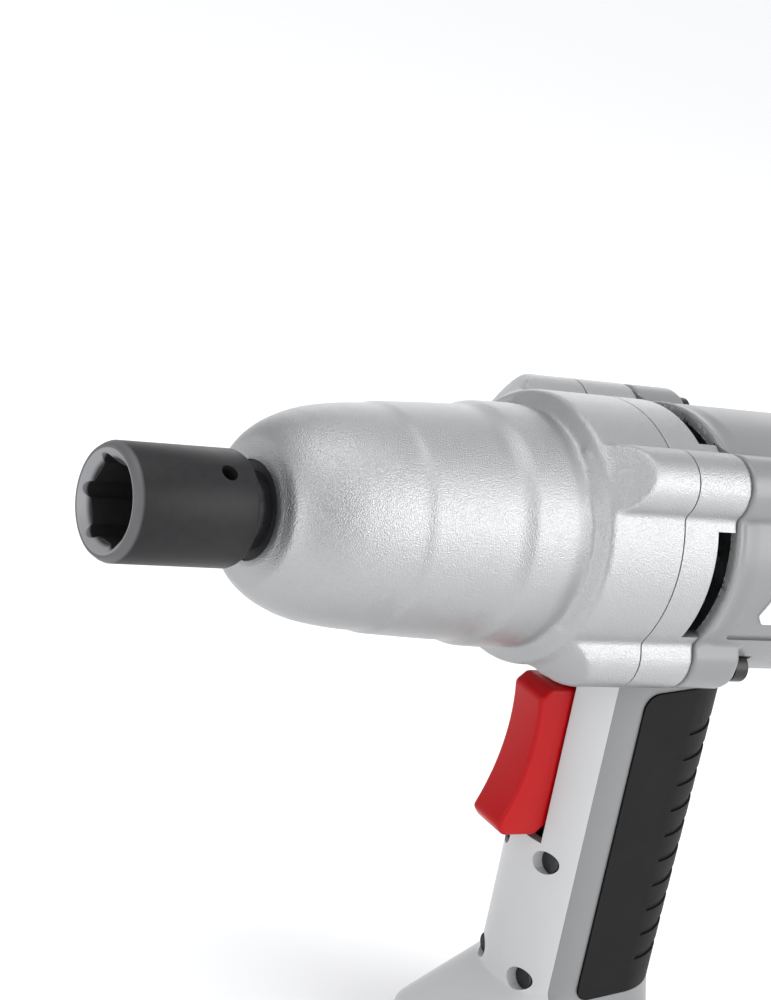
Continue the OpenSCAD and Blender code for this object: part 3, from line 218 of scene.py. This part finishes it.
def worn_mouth(mat):
    """Lets bare metal show at the socket's mouth: faint on the rim, plain on the cone inside it."""
    tree = mat.node_tree
    place = tree.nodes.new("ShaderNodeTexCoord")
    split = tree.nodes.new("ShaderNodeSeparateXYZ")
    tree.links.new(place.outputs["Object"], split.inputs["Vector"])
    fade = tree.nodes.new("ShaderNodeMapRange")
    fade.interpolation_type = "SMOOTHSTEP"
    fade.inputs["From Min"].default_value = station(1.4)
    fade.inputs["From Max"].default_value = station(2.6)
    fade.inputs["To Min"].default_value = 1.0
    fade.inputs["To Max"].default_value = 0.0
    tree.links.new(split.outputs["X"], fade.inputs["Value"])
    spread = tree.nodes.new("ShaderNodeVectorMath")
    spread.operation = "MULTIPLY_ADD"
    spread.inputs[1].default_value = (0, 1, 1)
    spread.inputs[2].default_value = (0, 0, -AXIS_Z)
    tree.links.new(place.outputs["Object"], spread.inputs[0])
    radius = tree.nodes.new("ShaderNodeVectorMath")
    radius.operation = "LENGTH"
    tree.links.new(spread.outputs["Vector"], radius.inputs[0])
    inner = tree.nodes.new("ShaderNodeMapRange")
    inner.inputs["From Min"].default_value = 13.7 * MM
    inner.inputs["From Max"].default_value = 14.1 * MM
    inner.inputs["To Min"].default_value = 1.0
    inner.inputs["To Max"].default_value = 0.35
    tree.links.new(radius.outputs["Value"], inner.inputs["Value"])
    amount = tree.nodes.new("ShaderNodeMath")
    amount.operation = "MULTIPLY"
    tree.links.new(fade.outputs["Result"], amount.inputs[0])
    tree.links.new(inner.outputs["Result"], amount.inputs[1])
    bare = tree.nodes.new("ShaderNodeMix")
    bare.name = "bare"
    bare.data_type = "RGBA"
    bare.inputs["B"].default_value = (0.30, 0.30, 0.31, 1)
    tree.links.new(amount.outputs["Value"], bare.inputs["Factor"])
    tree.links.new(tree.nodes["tone"].outputs["Result"], bare.inputs["A"])
    tree.links.new(bare.outputs["Result"], tree.nodes["Principled BSDF"].inputs["Base Color"])


worn_mouth(finishes["socket_black"])

slot_of = {row["node"]: row["material_slot"] for row in frame["record"]["subparts"]}
for name, node in nodes.items():
    node.data.materials.clear()
    node.data.materials.append(finishes[slot_of[name]])
print("finishes:", len(finishes))

# %% [markdown]
# The finer pieces are built with a few small tools. A turned solid starts as a filled circle that is
# extruded ring by ring; a cut is a boolean modifier that is applied at once; and a cast or moulded
# shape is joined from simple solids, remeshed as one skin and smoothed, so that every inner corner
# gets the soft fillet that a pattern or a mould would leave.

# %% Tools for shaping
def start(obj_name):
    """Names the object that an operator has just made and returns it."""
    piece = bpy.context.active_object
    piece.name = obj_name
    return piece


def apply_all(piece):
    """Puts the object's own transform into its mesh."""
    bpy.ops.object.select_all(action="DESELECT")
    piece.select_set(True)
    bpy.context.view_layer.objects.active = piece
    bpy.ops.object.transform_apply(location=True, rotation=True, scale=True)


def modify(piece, kind, **values):
    """Adds a modifier, sets its values and applies it."""
    bpy.ops.object.select_all(action="DESELECT")
    piece.select_set(True)
    bpy.context.view_layer.objects.active = piece
    mod = piece.modifiers.new("shape", kind)
    for key, value in values.items():
        setattr(mod, key, value)
    bpy.ops.object.modifier_apply(modifier=mod.name)
    assert not piece.modifiers, piece.name + " kept a modifier"
    return piece


def combine(piece, tool, operation="DIFFERENCE"):
    """Cuts, joins or intersects a piece with a tool, which is used up."""
    modify(piece, "BOOLEAN", operation=operation, object=tool, solver="MANIFOLD")
    bpy.data.objects.remove(tool)
    return piece


def lathe(name, rings, segments=96):
    """A solid turned about the drive axis from (station, radius) rings."""
    bpy.ops.object.select_all(action="DESELECT")
    bpy.ops.mesh.primitive_circle_add(vertices=segments, radius=rings[0][1] * MM, fill_type="NGON")
    piece = start(name)
    bpy.ops.object.mode_set(mode="EDIT")
    bpy.ops.mesh.select_all(action="SELECT")
    for (s0, r0), (s1, r1) in zip(rings, rings[1:]):
        bpy.ops.mesh.extrude_region_move(TRANSFORM_OT_translate={"value": (0, 0, (s1 - s0) * MM)})
        bpy.ops.transform.resize(value=(r1 / r0, r1 / r0, 1))
    bpy.ops.mesh.select_all(action="SELECT")
    bpy.ops.mesh.normals_make_consistent(inside=False)
    bpy.ops.object.mode_set(mode="OBJECT")
    piece.rotation_euler = (0, math.pi / 2, 0)
    piece.location = (station(rings[0][0]), 0, AXIS_Z)
    apply_all(piece)
    return piece


def rod(name, radius, s0, s1, y=0.0, up=0.0, sides=48, turn=0.0):
    """A cylinder or prism parallel to the drive axis, between two stations."""
    bpy.ops.object.select_all(action="DESELECT")
    bpy.ops.mesh.primitive_cylinder_add(vertices=sides, radius=radius * MM, depth=(s1 - s0) * MM)
    piece = start(name)
    along = Matrix.Rotation(math.radians(turn), 3, "X") @ Matrix.Rotation(math.pi / 2, 3, "Y")
    piece.rotation_euler = along.to_euler()
    piece.location = (station((s0 + s1) / 2), y * MM, AXIS_Z + up * MM)
    apply_all(piece)
    return piece


def cross_rod(name, radius, place, direction, length, sides=48):
    """A cylinder centred on a point, in metres, along any direction."""
    bpy.ops.object.select_all(action="DESELECT")
    bpy.ops.mesh.primitive_cylinder_add(vertices=sides, radius=radius * MM, depth=length * MM)
    piece = start(name)
    piece.rotation_euler = Vector(direction).to_track_quat("Z", "Y").to_euler()
    piece.location = place
    apply_all(piece)
    return piece


def block(name, low, high, frame_matrix=None):
    """A box between two corners in millimetres, in the given frame."""
    bpy.ops.object.select_all(action="DESELECT")
    bpy.ops.mesh.primitive_cube_add(size=1)
    piece = start(name)
    size = [(b - a) * MM for a, b in zip(low, high)]
    middle = [(a + b) / 2 * MM for a, b in zip(low, high)]
    local = Matrix.Translation(middle) @ Matrix.Diagonal((*size, 1))
    piece.matrix_world = (frame_matrix or Matrix.Identity(4)) @ local
    apply_all(piece)
    return piece


def join(pieces):
    """Joins several objects into the first one."""
    bpy.ops.object.select_all(action="DESELECT")
    for piece in pieces:
        piece.select_set(True)
    bpy.context.view_layer.objects.active = pieces[0]
    bpy.ops.object.join()
    return pieces[0]


def moulded(pieces, voxel, rounds, factor=0.5):
    """One smooth skin round several overlapping solids."""
    piece = join(pieces)
    modify(piece, "REMESH", mode="VOXEL", voxel_size=voxel * MM)
    modify(piece, "SMOOTH", factor=factor, iterations=rounds)
    return piece


def slice_at(piece, place, normal, keep_front):
    """Cuts a piece with a plane and closes the cut; keep_front keeps the side the normal points to."""
    bpy.ops.object.select_all(action="DESELECT")
    piece.select_set(True)
    bpy.context.view_layer.objects.active = piece
    bpy.ops.object.mode_set(mode="EDIT")
    bpy.ops.mesh.select_all(action="SELECT")
    bpy.ops.mesh.bisect(plane_co=place, plane_no=normal, use_fill=True,
                        clear_inner=keep_front, clear_outer=not keep_front)
    bpy.ops.mesh.select_all(action="SELECT")
    bpy.ops.mesh.normals_make_consistent(inside=False)
    bpy.ops.object.mode_set(mode="OBJECT")
    return piece


def copy_of(piece, name):
    """A second object with its own mesh."""
    bpy.ops.object.select_all(action="DESELECT")
    piece.select_set(True)
    bpy.context.view_layer.objects.active = piece
    bpy.ops.object.duplicate()
    return start(name)


def finish_piece(piece, body, finish_name, *replaced, smooth=35):
    """Shades a piece, gives it its finish, and lets it ride on a body in place of model nodes."""
    bpy.ops.object.select_all(action="DESELECT")
    piece.select_set(True)
    bpy.context.view_layer.objects.active = piece
    bpy.ops.object.shade_smooth_by_angle(angle=math.radians(smooth))
    for mod in list(piece.modifiers):
        bpy.ops.object.modifier_apply(modifier=mod.name)
    piece.data.materials.clear()
    piece.data.materials.append(finishes[finish_name])
    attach(piece, body)
    if replaced:
        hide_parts(*replaced)
    print(piece.name, "faces:", len(piece.data.polygons))
    return piece


print("shaping tools ready")

# %% [markdown]
# The hammer case and the gear plate are cast in silver and meet at a thin dark gasket. Both come from
# one skin: a dome with two soft steps, a neck, and a flange with four screw lobes whose fronts slope
# back. The skin is smoothed once and then cut at the joint, so the outline runs on across it.

# %% Case and gear plate
LOBES = [(math.cos(math.radians(a)), math.sin(math.radians(a))) for a in (45, 135, 225, 315)]
dome = lathe("dome", [
    (44.6, 15.4), (45.1, 16.1), (46, 20.4), (48, 22.7), (50, 24.2), (52, 25.4), (54, 26.4), (56, 27.2),
    (58, 28.0), (60, 28.6), (63, 29.4), (66, 29.9), (70, 30.5), (75, 31.0), (80.5, 31.35), (82, 31.5),
    (84, 32.1), (90, 32.4), (100, 32.9), (108, 33.2), (112.5, 33.25), (114.5, 33.7), (117.5, 34.75),
    (124, 35), (131, 35), (134, 34.6), (137.5, 34.5), (150, 34.5)], 160)
flange = lathe("flange", [(137, 34.6), (139.4, 39.0), (140.6, 39.7), (187.5, 39.7)], 160)
cone = lathe("cone", [(135.6, 34.9), (151.5, 48.8), (192, 49)], 96)
lobes = [rod("lobe", 10.26, 137, 187.5, y * 37.5, z * 37.5) for y, z in LOBES]
lobe_group = lobes[0]
for lobe in lobes[1:]:
    combine(lobe_group, lobe, "UNION")
combine(lobe_group, cone, "INTERSECT")
casting = moulded([dome, flange, lobe_group], 0.7, 9)
print("casting faces:", len(casting.data.polygons))
plate = copy_of(casting, "gear_plate_fine")
slice_at(casting, (station(166.6), 0, 0), (1, 0, 0), False)
slice_at(plate, (station(167.0), 0, 0), (1, 0, 0), True)
casting.name = "hammer_case_fine"
combine(casting, lathe("hollow", [
    (40, 13.65), (70.6, 13.65), (70.62, 17.6), (71, 27.2), (77, 28.2), (143.85, 28.2),
    (143.86, 31.05), (170, 31.05)], 96))
for y, z in LOBES:
    combine(casting, rod("thread", 2.55, 151, 170, y * 41.5, z * 41.5, 24))
modify(casting, "BEVEL", width=0.25 * MM, segments=2, limit_method="ANGLE", angle_limit=math.radians(60))
finish_piece(casting, "housing", "cast_silver", "hammer_case")

# the plate's rim stops short between the lobes, so that cooling air can pass
gap = lathe("gap", [(180, 60), (200, 60)], 96)
for y, z in LOBES:
    keep = rod("keep", 14.5, 179, 201, y * 42.5, z * 42.5, 64)
    combine(gap, keep)
combine(gap, lathe("core", [(179, 20.4), (201, 20.4)], 96))
combine(plate, gap)
combine(plate, lathe("fan_space", [(180.5, 36.5), (190, 36.5)], 96))
core = lathe("plate_core_fine", [
    (162.0, 20.45), (172.9, 20.45), (172.95, 31), (177, 31), (177.05, 20.4), (187.5, 20.4)], 96)
combine(plate, lathe("plate_bore", [(160, 30), (173.1, 30), (173.15, 19), (190, 19)], 96))
combine(plate, core, "UNION")
combine(plate, lathe("shaft_hole", [(150, 10.5), (200, 10.5)], 64))
combine(plate, lathe("bearing_seat", [(150, 17.55), (172.95, 17.55)], 96))
combine(plate, lathe("front_seat", [(178, 16.05), (200, 16.05)], 96))
for y, z in LOBES:
    combine(plate, rod("clear", 2.8, 160, 190, y * 41.5, z * 41.5, 24))
modify(plate, "BEVEL", width=0.3 * MM, segments=2, limit_method="ANGLE", angle_limit=math.radians(60))
finish_piece(plate, "housing", "cast_silver", "gear_plate")

# %% [markdown]
# The impact socket is turned, then broached with a hexagon whose flanks bulge inwards between round
# corner reliefs. The mouth's cone leaves a bright scallop where it meets each flank.

# %% Impact socket
socket = lathe("socket_fine", [
    (0, 14.6), (0.25, 14.95), (1.6, 15.75), (2.4, 16), (36.9, 16), (37.9, 15.6), (38.4, 14.6)], 160)
hexagon = rod("hexagon", 12.7, -1, 16, 0, 0, 6, 90 - 7.2)
for k in range(6):
    angle = math.radians(60 * k + 30 - 7.2)
    y, z = math.cos(angle), math.sin(angle)
    combine(hexagon, rod("flank", 29, -2, 17, y * 39.3, z * 39.3, 192))
for k in range(6):
    angle = math.radians(60 * k - 7.2)
    y, z = math.cos(angle), math.sin(angle)
    combine(hexagon, rod("relief", 2.2, -1, 16, y * 10.7, z * 10.7, 48), "UNION")
combine(socket, hexagon)
combine(socket, lathe("mouth", [(-0.5, 14.0), (0, 13.7), (2.6, 11.0)], 96))
combine(socket, lathe("relief_bore", [(15, 9.35), (22.8, 9.35)], 96))
combine(socket, rod("square", 12.9 / math.sqrt(2), 16, 40, 0, 0, 4, 31.5))
pin_way = (0, -math.cos(math.radians(58.5)), math.sin(math.radians(58.5)))
combine(socket, cross_rod("pin_hole", 2.4, (station(29.5), 0, AXIS_Z), pin_way, 60))
modify(socket, "BEVEL", width=0.3 * MM, segments=3, limit_method="ANGLE", angle_limit=math.radians(40))
finish_piece(socket, "socket", "socket_black", "impact_socket")

# %% [markdown]
# The motor housing is a moulding in two joined parts: a barrel with a rolled lip, four screw ears and
# a shallow slanted recess on each side, and a raked handle. The handle's front is a separate light
# cover that carries the trigger, and its rear wears a rubber grip.

# %% Barrel
barrel = lathe("barrel", [
    (188.0, 37.9), (188.15, 38.7), (188.6, 39.3), (189.4, 39.62), (190.4, 39.5), (191.6, 39.0),
    (193.4, 38.9), (195.2, 39.2), (197.0, 39.5), (270, 39.5)], 160)
ears = [rod("ear", 10.2, 188, 206.5, y * 37.5, z * 37.5) for y, z in LOBES]
ears += [lathe("ear_lip", [(188, 39.3), (188.6, 39.7), (190, 39.7), (191, 39.3)], 128)]
brush_boss = cross_rod("brush_boss", 10.2, (station(257), 0, AXIS_Z), (0, 1, 0), 79, 64)
barrel = moulded([barrel, *ears, brush_boss], 0.72, 4)
for y, z in LOBES:
    combine(barrel, rod("screw_way", 2.8, 180, 215, y * 41.5, z * 41.5, 32))
    combine(barrel, rod("head_pocket", 4.6, 206, 217, y * 41.5, z * 41.5))
combine(barrel, lathe("bore", [(180, 36.5), (275, 36.5)], 128))
for s0 in (196.0, 241.3):
    rib = lathe("rib", [(s0, 36.8), (s0 + 2.4, 36.8)], 96)
    combine(rib, lathe("rib_hole", [(s0 - 1, 30.5), (s0 + 4, 30.5)], 96))
    combine(barrel, rib, "UNION")
combine(barrel, cross_rod("cap_bore", 7.05, (station(257), 0, AXIS_Z), (0, 1, 0), 100, 64))
panel = block("panel", (197, -60, -17.3), (238, 60, 24), Matrix.Translation((FACE_X, 0, AXIS_Z)))
slice_at(panel, (station(197), 0, AXIS_Z - 0.0173), (-0.94, 0, 0.34), False)
modify(panel, "BEVEL", width=3 * MM, segments=5, limit_method="NONE")
combine(panel, lathe("panel_floor", [(190, 38.7), (245, 38.7)], 160))
combine(barrel, panel)
slice_at(barrel, (station(188.0), 0, 0), (1, 0, 0), True)
slice_at(barrel, (station(270.0), 0, 0), (1, 0, 0), False)
modify(barrel, "BEVEL", width=0.35 * MM, segments=2, limit_method="ANGLE", angle_limit=math.radians(50))
finish_piece(barrel, "housing", "housing_grey", "motor_housing")

# %% [markdown]
# The handle is shaped in its own frame: X runs rearwards through it and Z down it. A stadium-shaped
# prism widens into the foot, and the same prism, made smaller or larger, gives the hollow, the
# rubber grip and the recess that the grip lies in.

# %% Handle
HANDLE = (Matrix.Translation((station(172), 0, AXIS_Z - 0.042))
          @ Matrix.Rotation(math.radians(-8), 4, "Y") @ Matrix.Rotation(math.pi, 4, "X"))
down = (HANDLE.to_3x3() @ Vector((0, 0, 1))).normalized()
rear = (HANDLE.to_3x3() @ Vector((1, 0, 0))).normalized()


def stadium(name, grow, top, bottom):
    """The handle's prism between two depths, as one solid."""
    half = 19.5 + grow
    piece = block(name, (19.5, -half, top), (38.5, half, bottom), HANDLE)
    for x in (19.5, 38.5):
        place = HANDLE @ Vector((x * MM, 0, (top + bottom) / 2 * MM))
        combine(piece, cross_rod("round", half, place, down, bottom - top, 96), "UNION")
    return piece


def hull_of(pieces, name):
    """The convex hull of several solids."""
    piece = join(pieces)
    piece.name = name
    bpy.ops.object.mode_set(mode="EDIT")
    bpy.ops.mesh.select_all(action="SELECT")
    bpy.ops.mesh.convex_hull()
    bpy.ops.object.mode_set(mode="OBJECT")
    return piece


def foot(name, inset, low, high):
    """The foot's rounded block."""
    corners = [cross_rod(name, 14 - inset, (x * MM, y * MM, (low + high) / 2 * MM), (0, 0, 1), high - low, 48)
               for x in (-28, 28) for y in (-9.5, 9.5)]
    return hull_of(corners, name)


flare = hull_of([stadium("waist", 0.1, 111.5, 112.5), foot("foot", 0, -1.5, 13)], "flare")
handle = moulded([stadium("prism", 0, -16, 113), flare], 0.95, 5)
combine(handle, block("above", (-200, -90, 0), (200, 90, 400)), "INTERSECT")
way = lathe("case_way", [(136, 40.1), (188.4, 40.1)], 128)
for y, z in LOBES:
    combine(way, rod("lobe_way", 10.66, 136, 188.4, y * 37.5, z * 37.5), "UNION")
combine(handle, way)
combine(handle, lathe("motor_way", [(188.3, 39.2), (275, 39.2)], 128))
hollow = stadium("hollow", -4, -16, 150)
combine(hollow, block("above", (-200, -90, 3.5), (200, 90, 400)), "INTERSECT")
combine(hollow, foot("foot_hollow", 3.5, 3.5, 9.5), "UNION")
combine(handle, hollow)
cover = copy_of(handle, "handle_cover_fine")
combine(cover, block("front_half", (-80, -60, -60), (10, 60, 400), HANDLE), "INTERSECT")
combine(handle, block("rear_half", (10.05, -60, -60), (160, 60, 400), HANDLE), "INTERSECT")
handle.name = "handle_frame"


def grip_shell(name, gap):
    """The rubber grip, or with a gap the recess that takes it."""
    shell = stadium(name, 0.7 + gap, 5 - gap, 114 + gap)
    combine(shell, stadium("inside", -1.5 - gap, 0, 119))
    bounds = block("rounding", (19.5 - gap, -40, 5 - gap), (80, 40, 114 + gap), HANDLE)
    modify(bounds, "BEVEL", width=5 * MM, segments=6, limit_method="NONE")
    combine(shell, bounds, "INTERSECT")
    return shell


combine(handle, grip_shell("recess", 0.12))
for x, y in ((8.5, 9), (8.5, -9)):
    combine(handle, cross_rod("post", 3.4, (x * MM, y * MM, 0.0038), (0, 0, 1), 1.4), "UNION")
for drop in (66, 108):
    for y in (-10, 10):
        boss = HANDLE @ Vector((17.5 * MM, y * MM, drop * MM))
        combine(handle, cross_rod("boss", 4.4, boss, rear, 14.8), "UNION")
        combine(handle, cross_rod("thread", 2.05, boss, rear, 30, 24))
        combine(cover, cross_rod("screw_way", 2.05, boss, rear, 60, 24))
        combine(cover, cross_rod("head_way", 3.8, HANDLE @ Vector((3.5 * MM, y * MM, drop * MM)), rear, 7))
combine(handle, cross_rod("gland_bore", 7.05, (0.042, 0, 0.0135), (1, 0, 0), 30))
modify(handle, "BEVEL", width=0.35 * MM, segments=2, limit_method="ANGLE", angle_limit=math.radians(55))
finish_piece(handle, "housing", "housing_grey", "motor_housing")

PIVOT = (station(184.997), 0, AXIS_Z - 0.074)
pivot_frame = Matrix.Translation(PIVOT)
combine(cover, block("slot", (-30, -7.8, -27.4), (18, 7.8, 27.4), pivot_frame))
for side in (-1, 1):
    boss = cross_rod("pin_boss", 4.4, (PIVOT[0], side * 0.0109, PIVOT[2]), (0, 1, 0), 6.2)
    combine(boss, cross_rod("pin_way", 2.05, PIVOT, (0, 1, 0), 60, 32))
    combine(boss, block("boss_front", (-80, -60, -60), (9.9, 60, 400), HANDLE), "INTERSECT")
    combine(boss, stadium("boss_bounds", -1, -16, 113), "INTERSECT")
    combine(cover, boss, "UNION")
modify(cover, "BEVEL", width=0.35 * MM, segments=2, limit_method="ANGLE", angle_limit=math.radians(55))
finish_piece(cover, "housing", "cover_light", "handle_cover")

# %% Rubber grip
grip = grip_shell("grip_fine", 0.0)
for drop in range(18, 108, 9):
    groove = block("groove", (40, -40, drop), (80, 40, drop + 3.2), HANDLE)
    combine(groove, stadium("groove_floor", 0.05, drop - 5, drop + 8))
    combine(grip, groove)
combine(grip, lathe("barrel_way", [(186, 39.9), (275, 39.9)], 128))
modify(grip, "BEVEL", width=0.5 * MM, segments=3, limit_method="ANGLE", angle_limit=math.radians(50))
finish_piece(grip, "housing", "grip_rubber", "grip_rubber")

# %% [markdown]
# The rocker trigger has a hollowed face for the fingers, a sloping rear, soft edges and two pads that
# push the switch's plungers.

# %% Trigger
trigger = block("trigger_fine", (-22.5, -7, -25), (5, 7, 25), pivot_frame)
combine(trigger, cross_rod("finger_hollow", 70, (station(184.997 - 88.5), 0, PIVOT[2]), (0, 1, 0), 40, 256))
for side in (-1, 1):
    for x, height, normal in ((0, 22, (13, 5)), (-6, 25, (3, 6)), (-19.5, 24, (-2, 3))):
        place = (PIVOT[0] + x * MM, 0, PIVOT[2] + side * height * MM)
        slice_at(trigger, place, (normal[0], 0, side * normal[1]), False)
modify(trigger, "BEVEL", width=1.9 * MM, segments=5, limit_method="ANGLE", angle_limit=math.radians(20))
for side in (-1, 1):
    pad = (PIVOT[0] + 6 * MM, 0, PIVOT[2] + side * 15 * MM)
    combine(trigger, cross_rod("pad", 3, pad, (1, 0, 0), 4, 32), "UNION")
combine(trigger, block("bar", (3.5, -3, -16.9), (5.9, 3, 16.9), pivot_frame), "UNION")
combine(trigger, cross_rod("pin_hole", 2.05, PIVOT, (0, 1, 0), 40, 32))
finish_piece(trigger, "trigger", "trigger_red", "trigger")
